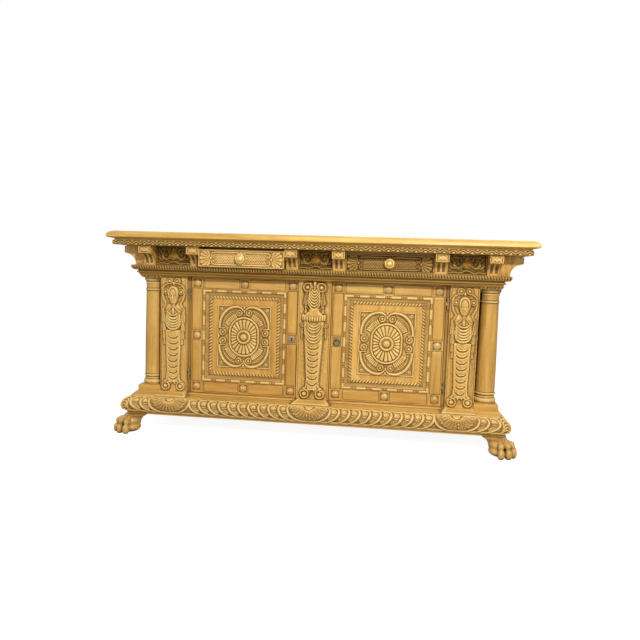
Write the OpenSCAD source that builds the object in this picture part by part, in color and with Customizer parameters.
// Carved oak credenza: two cupboard doors under two frieze drawers, free corner columns,
// three carved terms and a heavy rounded base on paw feet.
// X runs along the front, Y from front to back, Z up. Lengths are in millimetres.

/* [Body] */
// Width of the post between the two doors
post_w = 160; // [150:2:190]
// Width of the door opening beside the post
door_bay_w = 552; // [500:4:620]
// Gap between a door opening and its outer term, where the hinge knuckles stand
hinge_gap = 15; // [14:1:18]
// Width of an outer term
term_w = 136; // [126:2:150]
// Width of the bay that holds a corner column
column_bay_w = 115; // [112:1:130]
// Depth of the carcass behind the door faces
carcass_d = 400; // [360:5:460]
// Height of the door opening
door_bay_h = 593; // [540:4:650]
// Thickness of the carcass boards
board_t = 18; // [15:1:20]
// How far the term boards stand in front of the door faces
term_proud = 20; // [16:1:24]
// How far the outer side wall is set in from the corner plinth
side_set_in = 10; // [6:1:14]

/* [Top and frieze] */
// Thickness of the top slab
slab_t = 45; // [38:1:52]
// Overhang of the slab lip beyond the carved band, at the ends
slab_end_over = 26; // [18:1:34]
// Overhang of the slab lip beyond the carved band, at the front
slab_front_over = 16; // [10:1:24]
// Height of the carved band under the slab
band_h = 21; // [16:1:28]
// Overhang of the carved band beyond the frieze, at the ends
band_end_over = 89; // [84:1:100]
// Overhang of the carved band beyond the frieze, at the front
band_front_over = 86; // [80:1:96]
// Height of the frieze
frieze_h = 97; // [90:1:110]
// How far the frieze stands in front of the door faces
frieze_proud = 25; // [20:1:30]
// How far the frieze ends stand out beyond the corner plinth
frieze_end_over = 7; // [0:1:12]
// Width of a frieze bracket and of the post behind it
bracket_w = 60; // [52:1:64]
// Projection of a front bracket
bracket_proud = 72; // [60:1:76]
// Projection of an end bracket
end_bracket_proud = 67; // [55:1:76]
// Height of the block at the head of a bracket
bracket_block_h = 38; // [30:1:42]
// Distance from the centre line to the inner bracket
inner_bracket_x = 114; // [108:1:120]
// Distance from the centre line to the middle bracket
middle_bracket_x = 595; // [560:1:620]
// Distance from the centre line to the outer bracket
outer_bracket_x = 837; // [820:1:842]
// Depth of the sunk ground of a frieze panel
panel_sink = 8; // [4:1:10]

/* [Waist moulding] */
// Height of the waist moulding
waist_h = 49; // [42:1:56]
// Projection of the waist moulding in front of the door faces
waist_proud = 75; // [70:1:84]
// Projection of the waist moulding beyond the corner plinth
waist_end_over = 15; // [10:1:20]
// Thickness of the board over the cupboards
deck_t = 24; // [18:1:26]

/* [Columns] */
// Radius of the column shaft at its foot
shaft_r = 46; // [40:1:47]
// Radius of the column shaft under its neck
neck_r = 41; // [36:1:42]
// Radius of the round base moulding of a column
column_base_r = 53; // [50:1:54]
// Height of the plinth under a column, above the cupboard floor
column_plinth_h = 31; // [24:1:38]
// Height of the cap above a column
column_cap_h = 14; // [10:1:20]
// Distance from the door face back to the column axis
column_set_back = 48; // [46:1:52]

/* [Doors] */
// Running gap round a door
door_gap = 2; // [1.5:0.5:3]
// Thickness of a door frame
door_t = 22; // [20:1:25]
// Width of the door stiles and rails
stile_w = 62; // [54:1:66]
// Side of the square sunk blocks on the door frame
block_w = 40; // [34:1:44]
// Diameter of the domed bosses on the door frame
boss_d = 34; // [26:1:36]
// Height of the domed bosses
boss_h = 12; // [8:1:14]
// Width of the outer bead moulding of a door
bead_w = 12; // [8:1:12]
// Projection of the outer bead moulding of a door
bead_proud = 9; // [6:1:12]
// Width of the hollow between bead and rope mouldings
cove_w = 19; // [14:1:22]
// Width of the rope moulding
rope_w = 15; // [10:1:16]
// Depth of the door panel ground behind the frame face
panel_back = 8; // [6:1:10]
// Thickness of a door panel
panel_t = 10; // [8:1:12]
// Plain border of a door panel round its carved plaque
plaque_margin = 30; // [20:1:40]
// Thickness of the carved plaque
plaque_t = 8; // [6:1:12]
// Inner half width of the oval ring in the plaque
ring_r = 68; // [60:1:72]
// Straight stretch of the oval ring in the plaque
ring_straight = 46; // [36:1:54]
// Radius of the ringed centre boss
centre_boss_r = 34; // [28:1:38]
// Projection of the centre boss above the plaque
centre_boss_h = 22; // [14:1:26]
// Number of petals round the centre boss
petals = 24; // [16:1:30]

/* [Hinges, lock and pull] */
// Outer radius of a hinge knuckle
knuckle_r = 5; // [4.5:0.1:5.5]
// Radius of a hinge pin
pin_r = 2.2; // [1.8:0.1:2.4]
// Length of one hinge knuckle
knuckle_l = 15; // [12:1:20]
// Height of the upper hinge above the floor of the cupboard
upper_hinge_z = 503; // [480:1:530]
// Height of the lower hinge above the floor of the cupboard
lower_hinge_z = 98; // [80:1:130]
// Travel of the lock bolt
bolt_travel = 11; // [8:1:12]
// Mean radius of the ring pull
pull_r = 14; // [12:0.5:15]
// Radius of the wire of the ring pull
pull_wire_r = 1.9; // [1.6:0.1:2.1]
// Diameter of a drawer knob
knob_d = 48; // [40:1:52]
// Projection of a drawer knob
knob_proud = 32; // [28:1:38]

/* [Drawers] */
// How far the left drawer stands open
left_open = 64; // [0:1:250]
// Gap between a closed drawer and the back boards
drawer_back_gap = 38; // [20:2:90]
// Height of a drawer box
drawer_box_h = 68; // [58:1:72]
// Thickness of the drawer sides and back
drawer_side_t = 10; // [8:1:13]
// Thickness of a drawer front
drawer_front_t = 22; // [20:1:28]

/* [Inside] */
// Height of a shelf above the floor of the cupboard
shelf_z = 285; // [240:5:330]
// Gap between the door stops and the front edge of a shelf
shelf_set_back = 11; // [6:1:60]

/* [Base and feet] */
// Height of the paw feet
foot_h = 85; // [75:1:95]
// Thickness of the fillet board under the rounded base
fillet_t = 10; // [8:1:14]
// Height of the rounded base moulding
torus_h = 77; // [70:1:84]
// Rise of the plinth slope up to the cupboard floor
slope_h = 11; // [8:1:16]
// Rise of the mitred breaks above the cupboard floor
break_rise = 6; // [4:1:10]
// Projection of the rounded base in front of the door faces
torus_proud = 140; // [132:1:150]
// Projection of the rounded base beyond the corner plinth
torus_end_over = 37; // [34:1:46]
// Reach of the front toes in front of the door faces
toe_reach = 200; // [190:1:210]
// Distance from the centre line to the ankle of a front foot
ankle_x = 880; // [860:1:890]

/* [Clearances] */
// Clearance between a sliding drawer and its runner or guide
slide_clear = 0.3; // [0.3:0.1:0.6]
// Radial clearance of a hinge pin in a knuckle of the door
pin_clear = 0.05; // [0.03:0.01:0.08]
// Gap between the end faces of hinge knuckles
knuckle_gap = 0.3; // [0.2:0.1:0.5]
// Clearance between the drawer front and the frieze round it
drawer_gap = 1; // [0.5:0.5:2]

/* [Hidden] */

// Colours of the parts, as the photograph shows them
oak = [0.80, 0.62, 0.34];
oak_light = [0.87, 0.71, 0.42];
oak_dark = [0.55, 0.39, 0.19];
steel = [0.48, 0.48, 0.46];
brass = [0.82, 0.68, 0.40];
fine = 64;
curve_steps = 10;
eps = 0.01;

// Heights, from the floor up
z_fillet = foot_h;
z_torus = z_fillet + fillet_t;
z_slope = z_torus + torus_h;
z_floor = z_slope + slope_h;
z_waist = z_floor + door_bay_h;
z_frieze = z_waist + waist_h;
z_band = z_frieze + frieze_h;
z_slab = z_band + band_h;
z_top = z_slab + slab_t;

// Distances from the centre line
post_x = post_w / 2;
jamb_x = post_x + door_bay_w;
term_in_x = jamb_x + hinge_gap;
term_out_x = term_in_x + term_w;
corner_x = term_out_x + column_bay_w;
term_x = (term_in_x + term_out_x) / 2;
door_x = (post_x + jamb_x) / 2;
side_x = corner_x - side_set_in;
frieze_x = corner_x + frieze_end_over;
band_x = frieze_x + band_end_over;
lip_x = band_x + slab_end_over;
waist_x = corner_x + waist_end_over;
torus_x = corner_x + torus_end_over;
column_x = (term_out_x + corner_x) / 2 + 3;
hinge_x = jamb_x + hinge_gap / 2 + 0.5;

// Distances from the door faces, positive to the back
frieze_y = -frieze_proud;
band_y = frieze_y - band_front_over;
lip_y = band_y - slab_front_over;
run_in = torus_x - term_out_x;
back_t = 15;
back_y = carcass_d - back_t;
hinge_y = -(knuckle_r + 3);
post_back = 5;

// The origin lies under the middle of the whole outline
origin_y = (toe_reach - carcass_d) / 2;

module in_frame() { translate([0, origin_y, 0]) children(); }
module both_ends() { children(); mirror([1, 0, 0]) children(); }

// Points of an arc about a centre, from one angle to another
function arc(c, r, a0, a1, n = curve_steps) =
    [for (i = [0:n]) c + r * [cos(a0 + (a1 - a0) * i / n), sin(a0 + (a1 - a0) * i / n)]];
function backward(points) = [for (i = [len(points) - 1:-1:0]) points[i]];
function flip_x(points) = [for (p = backward(points)) [-p.x, p.y]];

// Extrudes a drawing of Y across and Z up along X, from x0 to x1
module along_x(x0, x1) { translate([x0, 0, 0]) rotate([90, 0, 90]) linear_extrude(x1 - x0) children(); }
// Extrudes a drawing of X across and Z up along Y, from y0 to y1
module along_y(y0, y1) { translate([0, y1, 0]) rotate([90, 0, 0]) linear_extrude(y1 - y0) children(); }
module box(x0, x1, y0, y1, z0, z1) { translate([x0, y0, z0]) cube([x1 - x0, y1 - y0, z1 - z0]); }

// A slab with one edge profile, [inset, height] from bottom to top, on its front and both ends
module moulded_slab(profile, half, front, back, z) {
    bottom = profile[0].y;
    top = profile[len(profile) - 1].y;
    translate([0, 0, z]) intersection() {
        along_x(-half - 1, half + 1)
            polygon(concat([for (p = profile) [front + p.x, p.y]], [[back, top], [back, bottom]]));
        edge = [for (p = profile) [half - p.x, p.y]];
        along_y(front - 1, back + 1) polygon(concat(edge, flip_x(edge)));
    }
}

// Runs of one width with an edge profile, cut at 45 degrees where the front and an end meet
module run_section(profile, w) {
    polygon(concat(profile, [[w, profile[len(profile) - 1].y], [w, profile[0].y]]));
}
module front_run(profile, half, front, z, w) {
    reach = w + 1;
    intersection() {
        translate([0, front, z]) along_x(-half - 1, half + 1) run_section(profile, w);
        translate([0, front, z - 1]) linear_extrude(profile[len(profile) - 1].y + 2)
            polygon([[-half - 1, -1], [half + 1, -1], [half - reach, reach], [reach - half, reach]]);
    }
}
module end_run(profile, half, front, back, z, w) {
    reach = w + 1;
    intersection() {
        translate([half, 0, z]) mirror([1, 0, 0]) along_y(front - 1, back) run_section(profile, w);
        translate([half, front, z - 1]) linear_extrude(profile[len(profile) - 1].y + 2)
            polygon([[1, -1], [1, back - front + 1], [-reach, back - front + 1], [-reach, reach]]);
    }
}

// Edge profiles, [inset, height]
slab_profile = concat([[slab_end_over, 0], [slab_end_over - 2, 7], [5, 12], [0, 15], [0, 18]],
    arc([24, 18], 24, 170, 100, 6), [[23, slab_t - 3], [25, slab_t]]);
band_profile = [[0, 0], [0, band_h]];
lip_r = 6;
waist_profile = concat([[30, 0], [28, 3], [25, 4], [25, 10], [22, 11], [22, 22]],
    arc([4, 22], 18, 180, 100, 6), [[0, waist_h - 9]], arc([lip_r, waist_h - lip_r], lip_r, 180, 90, 4),
    [[14, waist_h]]);
torus_profile = concat([[25, 0], [20, 3]], arc([38, torus_h * 0.5], 38, 230, 90, 14), [[52, torus_h]]);
floor_y = run_in - torus_proud;
slope_profile = [[-86, z_slope], [-86, z_slope + 2], [-34, z_slope + slope_h * 0.55],
    [-28, z_slope + slope_h * 0.85], [0, z_floor], [floor_y, z_floor], [floor_y, z_slope]];
break_profile = [[-90, z_slope], [-88, z_slope + 2], [-40, z_floor - 1], [-34, z_floor + break_rise - 1],
    [-32, z_floor + break_rise], [0, z_floor + break_rise], [0, z_slope]];

band_w = 100;
waist_w = waist_proud + post_back;

// The top
module top_slab() {
    color(oak) in_frame() moulded_slab(slab_profile, lip_x, lip_y, carcass_d, z_slab);
}
module band_front() { color(oak_light) in_frame() front_run(band_profile, band_x, band_y, z_band, band_w); }
module band_right() {
    color(oak_light) in_frame() end_run(band_profile, band_x, band_y, carcass_d, z_band, band_w);
}
module band_left() { mirror([1, 0, 0]) band_right(); }

// The frieze: posts behind the brackets and a rail over each drawer
rail_h = 11;
module frieze_post(x0, x1) { box(x0, x1, frieze_y, post_back, z_frieze, z_band); }
module frieze_frame() {
    color(oak) in_frame() both_ends() {
        frieze_post(inner_bracket_x - bracket_w / 2, inner_bracket_x + bracket_w / 2);
        frieze_post(middle_bracket_x - bracket_w / 2, middle_bracket_x + bracket_w / 2);
        frieze_post(outer_bracket_x - bracket_w / 2, frieze_x - board_t);
        box(inner_bracket_x + bracket_w / 2, middle_bracket_x - bracket_w / 2,
            frieze_y, post_back, z_band - rail_h, z_band);
    }
}
module frieze_ends() {
    color(oak) in_frame() both_ends() box(frieze_x - board_t, frieze_x, frieze_y, back_y, z_frieze, z_band);
}
// One sunk panel with its raised round boss and the rising fillet along its foot
module frieze_panel(x0, x1) {
    mid = (x0 + x1) / 2;
    mid_z = (z_frieze + z_band) / 2 + 4;
    w = x1 - x0;
    box(x0, x1, frieze_y + panel_sink, post_back, z_frieze, z_band);
    translate([mid, frieze_y + panel_sink + 1, mid_z]) rotate([90, 0, 0])
        cylinder(h = panel_sink + 1, r1 = 20, r2 = 16, $fn = fine);
    along_y(frieze_y + 2, frieze_y + panel_sink + 1) {
        translate([x0, z_frieze]) square([w, 12]);
        intersection() {
            translate([mid, z_frieze - 4]) circle(r = 24, $fn = fine);
            translate([x0, z_frieze]) square([w, 30]);
        }
    }
    for (side = [-1, 1])
        translate([mid + side * w * 0.27, frieze_y + panel_sink + 1, mid_z]) rotate([90, 0, 0])
            cylinder(h = 6, r = 17, $fn = fine);
}
module frieze_panels() {
    inner = inner_bracket_x - bracket_w / 2;
    color(oak_dark) in_frame() {
        frieze_panel(-inner, inner);
        both_ends() frieze_panel(middle_bracket_x + bracket_w / 2, outer_bracket_x - bracket_w / 2);
    }
}

// A bracket seen from its side: a square head over a hollow stem with two flutes
module bracket_side(proud) {
    block_z = frieze_h - bracket_block_h;
    hollow = proud - 20;
    translate([0, block_z]) square([proud, bracket_block_h - 5]);
    square([proud - 10, frieze_h]);
    square([proud - 12, block_z]);
    square([11, 4]);
}
module bracket_hollow(proud, extra) {
    block_z = frieze_h - bracket_block_h;
    r = block_z - 7;
    translate([8 + r, 4]) circle(r = r + extra, $fn = fine * 2);
    translate([8 + r, 4 - extra]) square([proud, block_z - 8]);
}
module bracket(proud) {
    flute_w = bracket_w * 0.17;
    rotate([90, 0, -90]) difference() {
        translate([0, 0, -bracket_w / 2]) linear_extrude(bracket_w) difference() {
            bracket_side(proud);
            difference() {
                bracket_hollow(proud, 0);
                translate([-1, -1]) square([12, 5]);
            }
        }
        for (side = [-1, 1]) translate([0, 0, side * bracket_w * 0.19 - flute_w / 2]) linear_extrude(flute_w)
            intersection() {
                bracket_hollow(proud, 4);
                translate([3, 10]) square([proud, frieze_h - bracket_block_h - 12]);
            }
    }
}
module front_brackets() {
    color(oak_light) in_frame() both_ends() for (x = [inner_bracket_x, middle_bracket_x, outer_bracket_x])
        translate([x, frieze_y, z_frieze]) bracket(bracket_proud);
}
module end_brackets() {
    color(oak_light) in_frame() both_ends() for (y = [frieze_y + bracket_w / 2, back_y - bracket_w / 2])
        translate([frieze_x, y, z_frieze]) rotate([0, 0, 90]) bracket(end_bracket_proud);
}

// The waist moulding and the board behind it
module waist_front() {
    color(oak) in_frame() front_run(waist_profile, waist_x, -waist_proud, z_waist, waist_w);
}
module waist_right() {
    color(oak) in_frame() end_run(waist_profile, waist_x, -waist_proud, back_y, z_waist, waist_w);
}
module waist_left() { mirror([1, 0, 0]) waist_right(); }
deck_x = waist_x - waist_w;
module cupboard_deck() {
    color(oak_dark) in_frame() box(-deck_x, deck_x, post_back, back_y, z_waist, z_waist + deck_t);
}

// Corner columns between cap and plinth
column_z0 = z_floor + column_plinth_h;
column_z1 = z_waist - column_cap_h;
module columns() {
    h = column_z1 - column_z0;
    base = column_base_r;
    profile = concat([[0, 0], [base - 6, 0]], arc([base - 13, 13], 13, -60, 78),
        [[shaft_r + 1, 29], [shaft_r - 1, 34], [shaft_r - 1, 40]],
        arc([shaft_r - 1, 45], 5, -80, 80, 6), [[shaft_r, 54]],
        [for (i = [1:8]) [shaft_r - (shaft_r - neck_r) * pow(i / 8, 1.6), 54 + (h - 54 - 66) * i / 8]],
        arc([neck_r, h - 60], 4.5, -80, 80, 6), [[neck_r, h - 54], [neck_r, h - 28]],
        arc([neck_r - 2, h - 25], 5, -70, 60, 5),
        arc([neck_r - 2, h - 8], 11, -60, 30, 6), [[neck_r + 9, h - 2], [neck_r + 9, h], [0, h]]);
    color(oak_light) in_frame() both_ends() translate([column_x, column_set_back, column_z0])
        rotate_extrude($fn = fine) polygon(profile);
}
column_bay_back = column_set_back + column_base_r + 9;
module column_caps() {
    profile = concat([[24, 0], [22, 2]], arc([24, column_cap_h - 2], 12, 250, 185, 6),
        [[8, column_cap_h - 2], [8, column_cap_h]]);
    color(oak_light) in_frame() both_ends() intersection() {
        moulded_slab(profile, corner_x + 4, -30, carcass_d, z_waist - column_cap_h);
        box(term_out_x, corner_x + 5, -31, column_bay_back, z_waist - column_cap_h - 1, z_waist);
    }
}
column_plinth_y = -25;
module column_plinths() {
    skirt = [[-28, z_slope], [-26, z_slope + 3], [-9, z_slope + 12], [-4, z_slope + 13], [0, z_slope + 17],
        [0, column_z0 - 2], [2, column_z0]];
    front = concat([for (p = skirt) [column_plinth_y + p.x * 2.1, p.y]],
        [[column_bay_back, column_z0], [column_bay_back, z_slope]]);
    end = concat([for (p = skirt) [corner_x - p.x * 0.35, p.y]],
        [[term_out_x, column_z0], [term_out_x, z_slope]]);
    color(oak) in_frame() both_ends() intersection() {
        along_x(term_out_x, torus_x) polygon(front);
        along_y(-torus_proud, column_bay_back) polygon(end);
    }
}

// Carving of the outer terms and of the centre term, in front of their boards
carve_proud = 11;
bust_proud = 26;
// A round volute, a disc with a raised eye, seen from the front
module volute(x, z, r, proud) {
    translate([x, 0, z]) rotate([90, 0, 0]) {
        cylinder(h = proud - 2, r = r, $fn = fine / 2);
        cylinder(h = proud, r1 = r * 0.62, r2 = r * 0.34, $fn = fine / 2);
    }
}
// A hanging fold, half a ring of round section
module swag(z, r, thick) {
    translate([0, 0, z]) rotate([90, 180, 0]) rotate_extrude(angle = 180, $fn = fine) translate([r, 0])
        circle(r = thick, $fn = 24);
}
// The tapering scaled strip of a term, raised from its board
module term_strip(z0, z1, w0, w1, proud, scales) {
    along_y(-proud, 1) polygon([[-w0, z0], [w0, z0], [w1, z1], [-w1, z1]]);
    step = (z1 - z0) / scales;
    for (i = [0:scales - 1]) {
        z = z0 + step * (i + 0.9);
        r = (w0 + (w1 - w0) * i / scales) * 0.62;
        translate([0, -proud + 1, z]) rotate([82, 0, 0]) cylinder(h = 5, r = r, $fn = fine / 2);
    }
}
term_z = z_floor + break_rise;
term_h = z_waist - term_z;
// A symmetric carved form drawn as shares of a term's width and height
module carved_form(share, w, proud) {
    right = [for (p = share) [p.x * w, p.y * term_h]];
    along_y(-proud, 1) polygon(concat(right, flip_x(right)));
}
// What stands in front of a term's board, cut off flat at the back of the board
module on_board() {
    intersection() {
        children();
        box(-post_x, post_x, -bust_proud - 1, term_proud, 0, term_h);
    }
}
// An outer term: a plain head between volutes over a draped bust and a scaled strip
module outer_term() {
    w = term_w;
    h = term_h;
    head_z = h * 0.808;
    head = [for (i = [0:12]) [w * 0.176 * sin(i * 15), -h * 0.068 * cos(i * 15)]];
    box(-w / 2, w / 2, 0, term_proud + post_back, 0, h);
    drape = [[0.353, 0.70], [0.426, 0.61], [0.412, 0.45], [0.338, 0.47], [0.265, 0.62]];
    for (side = [-1, 1]) {
        volute(side * w * 0.147, h * 0.945, w * 0.11, carve_proud);
        volute(side * w * 0.316, h * 0.788, w * 0.11, carve_proud);
        volute(side * w * 0.28, h * 0.046, w * 0.162, carve_proud + 1);
        along_y(3 - carve_proud, 1) polygon([for (p = drape) [side * p.x * w, p.y * h]]);
    }
    on_board() translate([0, 2, head_z]) rotate_extrude($fn = fine / 2) polygon(head);
    carved_form([[0.294, 0.52], [0.382, 0.66], [0.176, 0.72]], w, carve_proud - 1);
    for (i = [0:2]) swag(h * (0.665 - 0.035 * i), w * (0.22 - 0.015 * i), w * 0.044);
    term_strip(h * 0.058, h * 0.5, w * 0.206, w * 0.309, carve_proud - 2, 9);
}
// The centre term: two volutes over a draped bust, a gadrooned skirt and a scaled strip
module centre_figure() {
    w = post_w;
    h = term_h;
    skirt_z = h * 0.693;
    skirt_r = w * 0.3;
    lobe_r = w * 0.0875;
    box(-w / 2, w / 2, 0, term_proud + post_back, 0, h);
    drape = [[0.212, 0.898], [0.388, 0.847], [0.388, 0.765], [0.275, 0.765]];
    for (side = [-1, 1]) {
        volute(side * w * 0.231, h * 0.925, w * 0.156, bust_proud - 4);
        volute(side * w * 0.262, h * 0.048, w * 0.138, bust_proud - 10);
        along_y(10 - bust_proud, 1) polygon([for (p = drape) [side * p.x * w, p.y * h]]);
    }
    carved_form([[0.312, 0.76], [0.25, 0.88]], w, bust_proud - 8);
    for (i = [0:2]) swag(h * (0.86 - 0.034 * i), w * 0.162, w * 0.044);
    on_board() translate([0, term_proud / 2, skirt_z]) rotate_extrude($fn = fine)
        polygon(concat([[0, 0], [skirt_r, 0]], arc([skirt_r, lobe_r], lobe_r, -90, 60, 6),
            [[skirt_r - 2, lobe_r * 2.4], [0, lobe_r * 2.4]]));
    carved_form([[0.375, 0.635], [0.312, 0.697]], w, bust_proud);
    term_strip(h * 0.068, h * 0.642, w * 0.238, w * 0.362, bust_proud - 2, 11);
}
module left_term() { mirror([1, 0, 0]) right_term(); }
module right_term() { color(oak_light) in_frame() translate([term_x, -term_proud, term_z]) outer_term(); }
module centre_term() { color(oak_light) in_frame() translate([0, -term_proud, term_z]) centre_figure(); }

// The carcass: niche walls, sides, partition, floor, shelves, stops and back
module niche_boards() {
    color(oak_dark) in_frame() both_ends() {
        box(term_out_x - board_t, term_out_x, post_back, back_y, z_floor, z_waist);
        box(term_out_x, side_x - board_t, column_bay_back, column_bay_back + board_t, z_slope, z_waist);
    }
}
side_y0 = column_bay_back;
side_rail = 46;
module side_frames() {
    color(oak) in_frame() both_ends() difference() {
        box(side_x - board_t, side_x, side_y0, back_y, z_slope, z_waist);
        box(side_x - board_t - 1, side_x + 1, side_y0 + side_rail, back_y - side_rail,
            z_slope + side_rail * 1.6, z_waist - side_rail);
    }
}
module side_panels() {
    y0 = side_y0 + side_rail;
    y1 = back_y - side_rail;
    z0 = z_slope + side_rail * 1.6;
    z1 = z_waist - side_rail;
    color(oak_light) in_frame() both_ends() {
        box(side_x - board_t + 2, side_x - 9, y0, y1, z0, z1);
        along_y(y0 + 18, y1 - 18) polygon([[side_x - 10, z0 + 16], [side_x - 9, z0 + 16],
            [side_x - 3, z0 + 34], [side_x - 3, z1 - 34], [side_x - 9, z1 - 16], [side_x - 10, z1 - 16]]);
    }
}
module centre_partition() {
    color(oak_dark) in_frame() box(-board_t / 2, board_t / 2, post_back, back_y, z_floor, z_waist);
}
floor_t = 24;
module cupboard_floor() {
    color(oak_dark) in_frame() box(-term_out_x, term_out_x, floor_y, back_y, z_floor - floor_t, z_floor);
}
stop_y = door_t + 1;
stop_w = 24;
stop_t = 20;
stop_back = stop_y + stop_t;
shelf_in = board_t / 2 + 1;
shelf_out = term_out_x - board_t - 1;
shelf_y0 = stop_back + shelf_set_back;
shelf_z0 = z_floor + shelf_z;
module shelves() {
    color(oak) in_frame() both_ends()
        box(shelf_in, shelf_out, shelf_y0, back_y - 1, shelf_z0, shelf_z0 + board_t);
}
cleat = 16;
module shelf_cleats() {
    color(oak_dark) in_frame() both_ends() for (x = [board_t / 2, term_out_x - board_t - cleat])
        box(x, x + cleat, shelf_y0 + cleat, back_y - cleat / 2, shelf_z0 - cleat, shelf_z0);
}
// The strip beside each door stands this far behind the door's face, and this far clear of the hinge leaf
jamb_set = 1;
jamb_clear = 0.5;
module door_stops() {
    mortise = 1;
    color(oak_dark) in_frame() {
        both_ends() {
            difference() {
                box(post_x - stop_w, post_x + door_gap + 4, stop_y, stop_back, z_floor, z_waist);
                box(post_x - bolt_travel, post_x + door_gap + 5, stop_y + 4 - mortise, stop_y + 9 + mortise,
                    lock_z - 9 - mortise, lock_z + 9 + mortise);
            }
            box(post_x - stop_w, post_x, post_back, stop_y, z_floor, z_waist);
            box(jamb_x + jamb_clear, term_in_x, jamb_set, stop_y, z_floor, z_waist);
            box(term_in_x, term_out_x - board_t, post_back, stop_y, z_floor, z_waist);
            box(jamb_x - 8, term_out_x - board_t, stop_y, stop_back, z_floor, z_waist);
        }
    }
}
module back_boards() {
    boards = 8;
    shrink_gap = 0.6;
    w = (2 * side_x + shrink_gap) / boards;
    color(oak_dark) in_frame() {
        for (i = [0:boards - 1]) translate([i * w - side_x, 0, 0])
            box(0, w - shrink_gap, back_y, carcass_d, z_slope, z_waist - shrink_gap);
        box(-side_x, side_x, back_y, carcass_d, z_waist, z_slab);
    }
}

// The plinth slope, its mitred breaks and the short slopes at the ends
break_half = 70;
module plinth_break(half) {
    side = [for (p = break_profile) [half - p.x - 32, p.y]];
    intersection() {
        along_x(-half - 70, half + 70) polygon(break_profile);
        along_y(-torus_proud, 1) polygon(concat([for (i = [0:len(side) - 3]) side[i]],
            flip_x([for (i = [0:len(side) - 3]) side[i]])));
    }
}
module plinth_moulding() {
    color(oak_light) in_frame() intersection() {
        union() {
            along_x(-term_out_x, term_out_x) polygon(slope_profile);
            plinth_break(break_half);
            both_ends() translate([term_x, 0, 0]) plinth_break(term_w / 2);
        }
        box(-term_out_x, term_out_x, -torus_proud, 100, z_slope, z_top);
    }
}
module plinth_ends() {
    profile = [[side_x, z_slope], [side_x + 12, z_slope], [side_x + 11, z_slope + 4], [side_x + 2, z_floor],
        [side_x, z_floor]];
    color(oak_light) in_frame() both_ends() along_y(column_bay_back, back_y) polygon(profile);
}

// The rounded base and the fillet board under it
module base_front() {
    color(oak) in_frame() front_run(torus_profile, torus_x, -torus_proud, z_torus, run_in);
}
module base_right() {
    color(oak) in_frame() end_run(torus_profile, torus_x, -torus_proud, carcass_d, z_torus, run_in);
}
module base_left() { mirror([1, 0, 0]) base_right(); }
fillet_in = 22;
fillet_w = 118;
module base_fillets() {
    half = torus_x - fillet_in;
    front = fillet_in + 8 - torus_proud;
    inner = half - fillet_w;
    color(oak) in_frame() translate([0, 0, z_fillet]) linear_extrude(fillet_t)
        polygon([[-half, front], [half, front], [half, carcass_d], [inner, carcass_d],
            [inner, front + fillet_w], [-inner, front + fillet_w], [-inner, carcass_d], [-half, carcass_d]]);
}

// A paw: a lofted ankle that swells into four toes, each with a knuckle over a pad, and sweeps out to
// the moulding beside and behind it
paw_turns = 72;
paw_levels = 16;
toe_count = 4;
toe_spread = 136;
paw_turn = -45;
function bump(x, at, width) = exp(-pow((x - at) / width, 2));
function toe_lobe(a) = abs(a) > toe_spread / 2 ? 0
    : pow(abs(sin((a / toe_spread + 0.5) * toe_count * 180)), 0.6);
function forward(a) = pow(max(0, (1 + cos(a)) / 2), 1.2);
function paw_r(a, t) =
    let (heel = 0.447 + 0.06 * bump(t, 0.1, 0.2) + 0.14 * bump(t, 1.1, 0.28),
        instep = 0.44 * bump(t, 0.1, 0.32) + 0.36 * bump(t, 0.6, 0.3) + 0.07 * bump(t, 1.05, 0.2),
        toe = 0.28 * toe_lobe(a) * (bump(t, 0.22, 0.2) + 0.95 * bump(t, 0.68, 0.19)),
        sweep = 0.42 * pow(max(0, 2 * t - 1), 2) * bump(abs(a), 180 + paw_turn, 34))
    foot_h * (heel + sweep + forward(a) * (instep + toe));
function paw_point(i, j) =
    let (a = -180 + 360 * i / paw_turns, t = j / paw_levels, r = paw_r(a, t))
    [r * cos(a), r * sin(a), t * foot_h];
paw_front = max([for (i = [0:paw_turns - 1], j = [0:paw_levels])
    let (p = paw_point(i, j)) -(p.x * sin(paw_turn) + p.y * cos(paw_turn))]);
ankle_y = paw_front - toe_reach;
module paw() {
    points = concat([for (j = [0:paw_levels], i = [0:paw_turns - 1]) paw_point(i, j)],
        [[0, 0, 0], [0, 0, foot_h]]);
    low = len(points) - 2;
    high = len(points) - 1;
    walls = [for (j = [0:paw_levels - 1], i = [0:paw_turns - 1])
        let (a = j * paw_turns + i, b = j * paw_turns + (i + 1) % paw_turns)
        each [[a, a + paw_turns, b], [b, a + paw_turns, b + paw_turns]]];
    last_ring = paw_levels * paw_turns;
    caps = [for (i = [0:paw_turns - 1]) let (n = (i + 1) % paw_turns)
        each [[low, i, n], [high, last_ring + n, last_ring + i]]];
    polyhedron(points, concat(walls, caps));
}
module right_paw() {
    color(oak_light) in_frame() translate([ankle_x, ankle_y, 0]) rotate([0, 0, paw_turn]) paw();
}
module left_paw() { mirror([1, 0, 0]) right_paw(); }
rear_foot_w = 90;
rear_foot_x = torus_x - fillet_in - 8 - rear_foot_w;
module rear_feet() {
    color(oak) in_frame() both_ends() intersection() {
        translate([rear_foot_x, carcass_d - 8 - rear_foot_w, 0]) cube([rear_foot_w, rear_foot_w, foot_h]);
        along_y(0, carcass_d) difference() {
            translate([rear_foot_x, 0]) square([rear_foot_w, foot_h]);
            translate([rear_foot_x - 8, foot_h * 0.42]) circle(r = foot_h * 0.3, $fn = fine);
        }
    }
}

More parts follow.
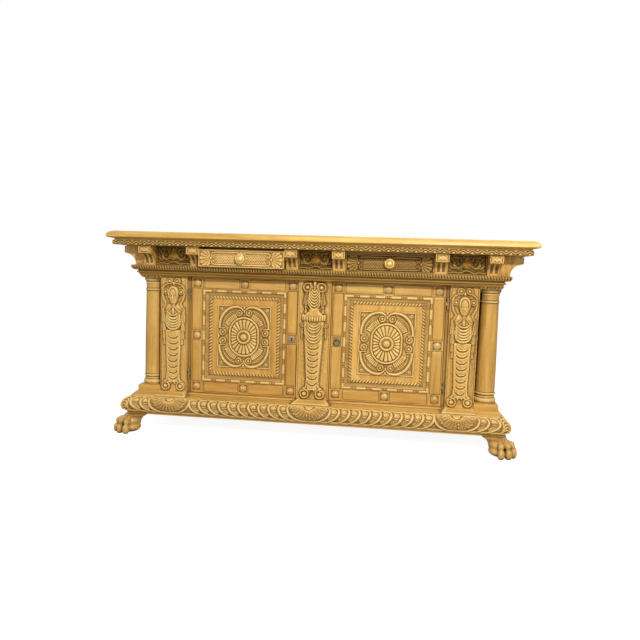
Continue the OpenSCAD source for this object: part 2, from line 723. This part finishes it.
// Hinges: two knuckles on the carcass, one between them on the door, and a pin through all
hinge_zs = [z_floor + lower_hinge_z, z_floor + upper_hinge_z];
leaf_t = 1.4;
module knuckle(z0, z1, leaf_x, leaf_y1, bore) {
    difference() {
        union() {
            translate([hinge_x, hinge_y, z0]) cylinder(h = z1 - z0, r = knuckle_r, $fn = fine / 2);
            box(min(hinge_x, leaf_x), max(hinge_x, leaf_x), hinge_y - leaf_t / 2, hinge_y + leaf_t / 2,
                z0, z1);
            box(min(leaf_x, leaf_x + (leaf_x > hinge_x ? -leaf_t : leaf_t)),
                max(leaf_x, leaf_x + (leaf_x > hinge_x ? -leaf_t : leaf_t)),
                hinge_y - leaf_t / 2, leaf_y1, z0, z1);
        }
        translate([hinge_x, hinge_y, z0 - 1]) cylinder(h = z1 - z0 + 2, r = bore, $fn = fine);
    }
}
module hinge_leaves() {
    color(steel) in_frame() both_ends() for (z = hinge_zs, side = [-1, 1]) {
        z0 = side > 0 ? z + knuckle_l / 2 + knuckle_gap : z - knuckle_l * 1.5 - knuckle_gap;
        knuckle(z0, z0 + knuckle_l, term_in_x, -1, pin_r + pin_clear);
    }
}
module hinge_pins() {
    reach = knuckle_l * 1.5 + knuckle_gap;
    color(steel) in_frame() both_ends() for (z = hinge_zs) translate([hinge_x, hinge_y, z]) {
        translate([0, 0, -reach - 1]) cylinder(h = 2 * reach + 2, r = pin_r, $fn = fine);
        for (side = [-1, 1]) translate([0, 0, side * (reach + 3)]) sphere(r = 3, $fn = fine / 2);
    }
}
module door_knuckles() {
    for (z = hinge_zs)
        knuckle(z - knuckle_l / 2, z + knuckle_l / 2, jamb_x - door_gap, door_t - 4, pin_r + pin_clear);
}

// A door, drawn for the right side: x runs from the post to the jamb
door_x0 = post_x + door_gap;
door_x1 = jamb_x - door_gap;
door_z0 = z_floor + door_gap;
door_z1 = z_waist - door_gap;
door_mid_z = (door_z0 + door_z1) / 2;
field_x0 = door_x0 + stile_w;
field_x1 = door_x1 - stile_w;
field_z0 = door_z0 + stile_w;
field_z1 = door_z1 - stile_w;
block_xs = [door_x0 + stile_w / 2, door_x, door_x1 - stile_w / 2];
block_zs = [door_z0 + stile_w / 2, door_mid_z, door_z1 - stile_w / 2];
block_sink = 3;
lock_z = door_mid_z;
pull_x = block_xs[0];
module frame_blocks() {
    for (i = [0:2], j = [0:2]) if (i != 1 || j != 1)
        box(block_xs[i] - block_w / 2, block_xs[i] + block_w / 2, -1, block_sink, block_zs[j] - block_w / 2,
            block_zs[j] + block_w / 2);
}
module door_frame(keyhole) {
    difference() {
        union() {
            box(door_x0, field_x0, 0, door_t, door_z0, door_z1);
            box(field_x1, door_x1, 0, door_t, door_z0, door_z1);
        }
        frame_blocks();
        if (keyhole)
            translate([pull_x, -1, lock_z]) rotate([-90, 0, 0]) cylinder(h = door_t + 2, r = 4, $fn = 32);
    }
    difference() {
        union() {
            box(field_x0, field_x1, 0, door_t, door_z0, field_z0);
            box(field_x0, field_x1, 0, door_t, field_z1, door_z1);
        }
        frame_blocks();
    }
}
module door_bosses(skip) {
    dome_r = (boss_d * boss_d / 4 + boss_h * boss_h) / (2 * boss_h);
    for (i = [0:2], j = [0:2]) if ((i != 1 || j != 1) && !(skip && i == 0 && j == 1))
        translate([block_xs[i], block_sink, block_zs[j]]) rotate([90, 0, 0]) intersection() {
            translate([0, 0, boss_h - dome_r]) sphere(r = dome_r, $fn = fine);
            cylinder(h = boss_h + 1, r = boss_d / 2 + 1, $fn = fine);
        }
}
// A solid in the door plane whose edge follows a profile, [inset, y] from front to back
module plane_solid(profile) {
    back = backward(profile);
    intersection() {
        translate([0, 0, field_z0 - 1]) linear_extrude(field_z1 - field_z0 + 2)
            polygon([for (p = profile) [field_x0 + p.x, p.y], for (p = back) [field_x1 - p.x, p.y]]);
        along_x(field_x0 - 1, field_x1 + 1)
            polygon([for (p = profile) [p.y, field_z0 + p.x], for (p = back) [p.y, field_z1 - p.x]]);
    }
}
// A half-round moulding in the door plane, mitred at its corners, with a narrow flat on its crest
module plane_bead(inset, w, crest, foot) {
    r = w / 2;
    centre = [inset + r, crest + r];
    flat = 4;
    difference() {
        plane_solid(concat(arc(centre, r, 270 - flat, 180, 6), [[inset, foot]]));
        plane_solid(concat([[centre.x + r * sin(flat), crest - 1]], arc(centre, r, 270 + flat, 360, 6),
            [[inset + w, foot + 1]]));
    }
}
rope_inset = bead_w + cove_w;
module door_moulding() {
    cove_foot = panel_back - 1;
    cove_in = rope_inset - 2;
    plane_bead(0, bead_w, -bead_proud, 0);
    difference() {
        plane_solid([[0, 0], [0, panel_back]]);
        plane_solid([[rope_inset, -1], [rope_inset, panel_back + 1]]);
        plane_solid(concat([[bead_w, -1], [bead_w, 0]],
            [for (i = [1:5]) [bead_w + (cove_in - bead_w) * pow(i / 5, 1.6), cove_foot * pow(i / 5, 0.6)]]));
    }
    plane_bead(rope_inset, rope_w, panel_back - rope_w / 2, panel_back);
}
// The carved plaque: an oval ring of petals round a boss, between four curved straps
module stadium(r) {
    translate([0, ring_straight / 2]) circle(r = r, $fn = fine * 2);
    translate([0, -ring_straight / 2]) circle(r = r, $fn = fine * 2);
    square([2 * r, ring_straight], center = true);
}
ring_w = 10;
plaque_w = field_x1 - field_x0 - 2 * (rope_inset + rope_w + plaque_margin);
plaque_h = field_z1 - field_z0 - 2 * (rope_inset + rope_w + plaque_margin);
strap_margin = 26;
strap_out = plaque_w / 2 - strap_margin - ring_r - ring_w;
module plaque() {
    reach = ring_r + ring_w + strap_out;
    rotate([90, 0, 0]) {
        translate([-plaque_w / 2, -plaque_h / 2, 0]) cube([plaque_w, plaque_h, plaque_t]);
        linear_extrude(plaque_t + 7) difference() {
            stadium(ring_r + ring_w);
            stadium(ring_r);
        }
        linear_extrude(plaque_t + 5) difference() {
            intersection() {
                stadium(reach + 6);
                union() for (sx = [-1, 1], sy = [-1, 1])
                    translate([sx * (12 + reach / 2), sy * (30 + reach / 2)])
                        square([reach, reach + 20], center = true);
            }
            stadium(ring_r + ring_w + 14);
        }
        for (i = [0:petals - 1]) {
            a = 360 * i / petals;
            reach_out = ring_r - 2 + ring_straight / 2 * pow(abs(sin(a)), 1.5);
            translate([0, 0, plaque_t]) rotate([0, 0, a]) translate([centre_boss_r - 4, 0, 0])
                rotate([0, 90, 0]) cylinder(h = reach_out - centre_boss_r + 4, r1 = 2.5, r2 = 6, $fn = 16);
        }
        cylinder(h = plaque_t + centre_boss_h - 12, r = centre_boss_r, $fn = fine);
        cylinder(h = plaque_t + centre_boss_h - 4, r1 = centre_boss_r - 6, r2 = centre_boss_r - 14,
            $fn = fine);
        cylinder(h = plaque_t + centre_boss_h, r1 = 12, r2 = 7, $fn = fine / 2);
        for (sx = [-1, 1], sy = [-1, 1]) {
            translate([sx * 17, sy * (reach + ring_straight / 2 - 13), 0])
                cylinder(h = plaque_t + 9, r = 13, $fn = fine / 2);
            translate([sx * (reach - 13), sy * 21, 0]) cylinder(h = plaque_t + 9, r = 14, $fn = fine / 2);
        }
    }
}
module door_panel() {
    box(field_x0, field_x1, panel_back, panel_back + panel_t, field_z0, field_z1);
    translate([door_x, panel_back, door_mid_z]) plaque();
}
module right_door_frame() { color(oak) in_frame() door_frame(false); }
module right_door_panel() { color(oak_light) in_frame() door_panel(); }
module right_door_moulding() { color(oak_light) in_frame() door_moulding(); }
module right_door_bosses() { color(oak_light) in_frame() door_bosses(true); }
module right_door_hinges() { color(steel) in_frame() door_knuckles(); }
module left_door_frame() { color(oak) in_frame() mirror([1, 0, 0]) door_frame(true); }
module left_door_panel() { mirror([1, 0, 0]) right_door_panel(); }
module left_door_moulding() { mirror([1, 0, 0]) right_door_moulding(); }
module left_door_bosses() { mirror([1, 0, 0]) right_door_bosses(); }
module left_door_hinges() { mirror([1, 0, 0]) right_door_hinges(); }

// The lock of the left door: a keyhole plate in front, a case behind, and the bolt inside it
bolt_w = 5;
bolt_h = 18;
lock_clear = 0.3;
case_y0 = door_t;
case_y1 = door_t + 14;
case_x0 = post_x + door_gap + 7;
case_x1 = case_x0 + 46;
bolt_y0 = stop_y + 4;
plate_w = block_w - 4;
module pull_square(w) {
    box(pull_x - w / 2, pull_x + w / 2, block_sink - 2, block_sink, lock_z - w / 2, lock_z + w / 2);
}
module left_door_lock() {
    color(steel) in_frame() mirror([1, 0, 0]) {
        difference() {
            pull_square(plate_w);
            translate([pull_x, 0, lock_z + 3]) rotate([-90, 0, 0]) cylinder(h = 6, r = 3, $fn = 32);
            box(pull_x - 1.2, pull_x + 1.2, 0, 6, lock_z - 7, lock_z + 2);
        }
        difference() {
            box(case_x0, case_x1, case_y0, case_y1, lock_z - 30, lock_z + 30);
            box(case_x0 - 1, case_x1 - 8, bolt_y0 - lock_clear, bolt_y0 + bolt_w + lock_clear,
                lock_z - bolt_h / 2 - lock_clear, lock_z + bolt_h / 2 + lock_clear);
        }
    }
}
module lock_bolt() {
    color(steel) in_frame() mirror([1, 0, 0])
        box(case_x0 - 0.5, case_x0 + 24, bolt_y0, bolt_y0 + bolt_w, lock_z - bolt_h / 2, lock_z + bolt_h / 2);
}

// The ring pull of the right door, hung in an eye on a square plate
eye_y = -7;
eye_z = lock_z + 9;
eye_r = 4.2;
eye_wire_r = 1.6;
module pull_plate() {
    color(steel) in_frame() {
        pull_square(plate_w);
        translate([pull_x, eye_y, eye_z]) rotate([0, 90, 0]) rotate_extrude($fn = fine / 2)
            translate([eye_r, 0]) circle(r = eye_wire_r, $fn = 24);
        translate([pull_x, eye_y + eye_r, eye_z]) rotate([-90, 0, 0])
            cylinder(h = block_sink - 1 - eye_y - eye_r, r = 1.5, $fn = 24);
    }
}
module ring_pull() {
    color(steel) in_frame() translate([pull_x, eye_y, eye_z - pull_r]) rotate([90, 0, 0])
        rotate_extrude($fn = fine) translate([pull_r, 0]) circle(r = pull_wire_r, $fn = 24);
}

// The drawers, drawn closed
drawer_x0 = inner_bracket_x + bracket_w / 2 + drawer_gap;
drawer_x1 = middle_bracket_x - bracket_w / 2 - drawer_gap;
drawer_z0 = z_frieze + drawer_gap;
drawer_z1 = z_band - rail_h - drawer_gap - 1;
drawer_mid_x = (drawer_x0 + drawer_x1) / 2;
drawer_mid_z = (drawer_z0 + drawer_z1) / 2;
drawer_face_y = frieze_y - 5;
box_x0 = drawer_x0 + 5;
box_x1 = drawer_x1 - 5;
box_z0 = z_frieze + 7;
box_y0 = drawer_face_y + drawer_front_t;
box_y1 = back_y - drawer_back_gap;
bottom_t = 6;
module drawer_front() {
    w = drawer_x1 - drawer_x0;
    h = drawer_z1 - drawer_z0;
    carve = 2.5;
    difference() {
        box(drawer_x0, drawer_x1, drawer_face_y, drawer_face_y + drawer_front_t, drawer_z0, drawer_z1);
        along_y(drawer_face_y - 1, drawer_face_y + carve) difference() {
            translate([drawer_mid_x, drawer_mid_z]) square([w * 0.64, h * 0.64], center = true);
            for (side = [-1, 1], up = [-1, 1])
                translate([drawer_mid_x + side * w * 0.32, drawer_mid_z + up * h * 0.32])
                    circle(r = h * 0.13, $fn = fine / 2);
        }
    }
}
module drawer_box() {
    z1 = box_z0 + drawer_box_h;
    box(box_x0, box_x0 + drawer_side_t, box_y0, box_y1, box_z0, z1);
    box(box_x1 - drawer_side_t, box_x1, box_y0, box_y1, box_z0, z1);
    in_x0 = box_x0 + drawer_side_t;
    in_x1 = box_x1 - drawer_side_t;
    box(in_x0, in_x1, box_y1 - drawer_side_t, box_y1, box_z0, z1);
    box(in_x0, in_x1, box_y0, box_y1 - drawer_side_t, box_z0 + 3, box_z0 + 3 + bottom_t);
}
module knob() {
    r = knob_d / 2;
    profile = concat([[0, 0], [r * 0.34, 0], [r * 0.34, knob_proud * 0.36]],
        arc([r - 5, knob_proud * 0.36 + 6], 5.5, -80, 60, 6),
        [[r * 0.74, knob_proud * 0.70], [r * 0.70, knob_proud * 0.68]],
        arc([r * 0.52, knob_proud * 0.72], r * 0.16, 0, 100, 4),
        [[r * 0.36, knob_proud * 0.74]], arc([0, knob_proud - r * 0.34], r * 0.34, 20, 90, 5));
    translate([drawer_mid_x, drawer_face_y + 2.5, drawer_mid_z]) rotate([90, 0, 0])
        rotate_extrude($fn = fine) polygon(profile);
}
module right_drawer_front() { color(oak_light) in_frame() drawer_front(); }
module right_drawer_box() { color(oak_dark) in_frame() drawer_box(); }
module right_knob() { color(brass) in_frame() knob(); }
module pulled_out() { mirror([1, 0, 0]) translate([0, -left_open, 0]) children(); }
module left_drawer_front() { pulled_out() right_drawer_front(); }
module left_drawer_box() { pulled_out() right_drawer_box(); }
module left_knob() { pulled_out() right_knob(); }

// Runners under the drawer sides, each with a guide beside the drawer
guide_h = 26;
runner_w = 14;
module drawer_runners() {
    guide_t = box_x0 - slide_clear - (drawer_x0 - drawer_gap - 4);
    color(oak_dark) in_frame() both_ends() for (end = [0, 1]) {
        inner = end == 0 ? box_x0 + runner_w : box_x1 - runner_w;
        outer = end == 0 ? box_x0 - slide_clear - guide_t : box_x1 + slide_clear + guide_t;
        guide = end == 0 ? box_x0 - slide_clear : box_x1 + slide_clear;
        box(min(inner, outer), max(inner, outer), post_back, back_y, z_waist + deck_t, box_z0 - slide_clear);
        box(min(guide, outer), max(guide, outer), post_back, back_y, box_z0 - slide_clear - eps,
            box_z0 + guide_h);
    }
}

top_slab();
band_front();
band_left();
band_right();
frieze_frame();
frieze_ends();
frieze_panels();
front_brackets();
end_brackets();
drawer_runners();
waist_front();
waist_left();
waist_right();
cupboard_deck();
column_caps();
columns();
column_plinths();
left_term();
centre_term();
right_term();
niche_boards();
side_frames();
side_panels();
centre_partition();
cupboard_floor();
shelves();
shelf_cleats();
door_stops();
back_boards();
plinth_moulding();
plinth_ends();
base_front();
base_left();
base_right();
base_fillets();
left_paw();
right_paw();
rear_feet();
hinge_leaves();
hinge_pins();
left_door_frame();
left_door_panel();
left_door_moulding();
left_door_bosses();
left_door_lock();
lock_bolt();
left_door_hinges();
right_door_frame();
right_door_panel();
right_door_moulding();
right_door_bosses();
pull_plate();
ring_pull();
right_door_hinges();
left_drawer_front();
left_drawer_box();
left_knob();
right_drawer_front();
right_drawer_box();
right_knob();
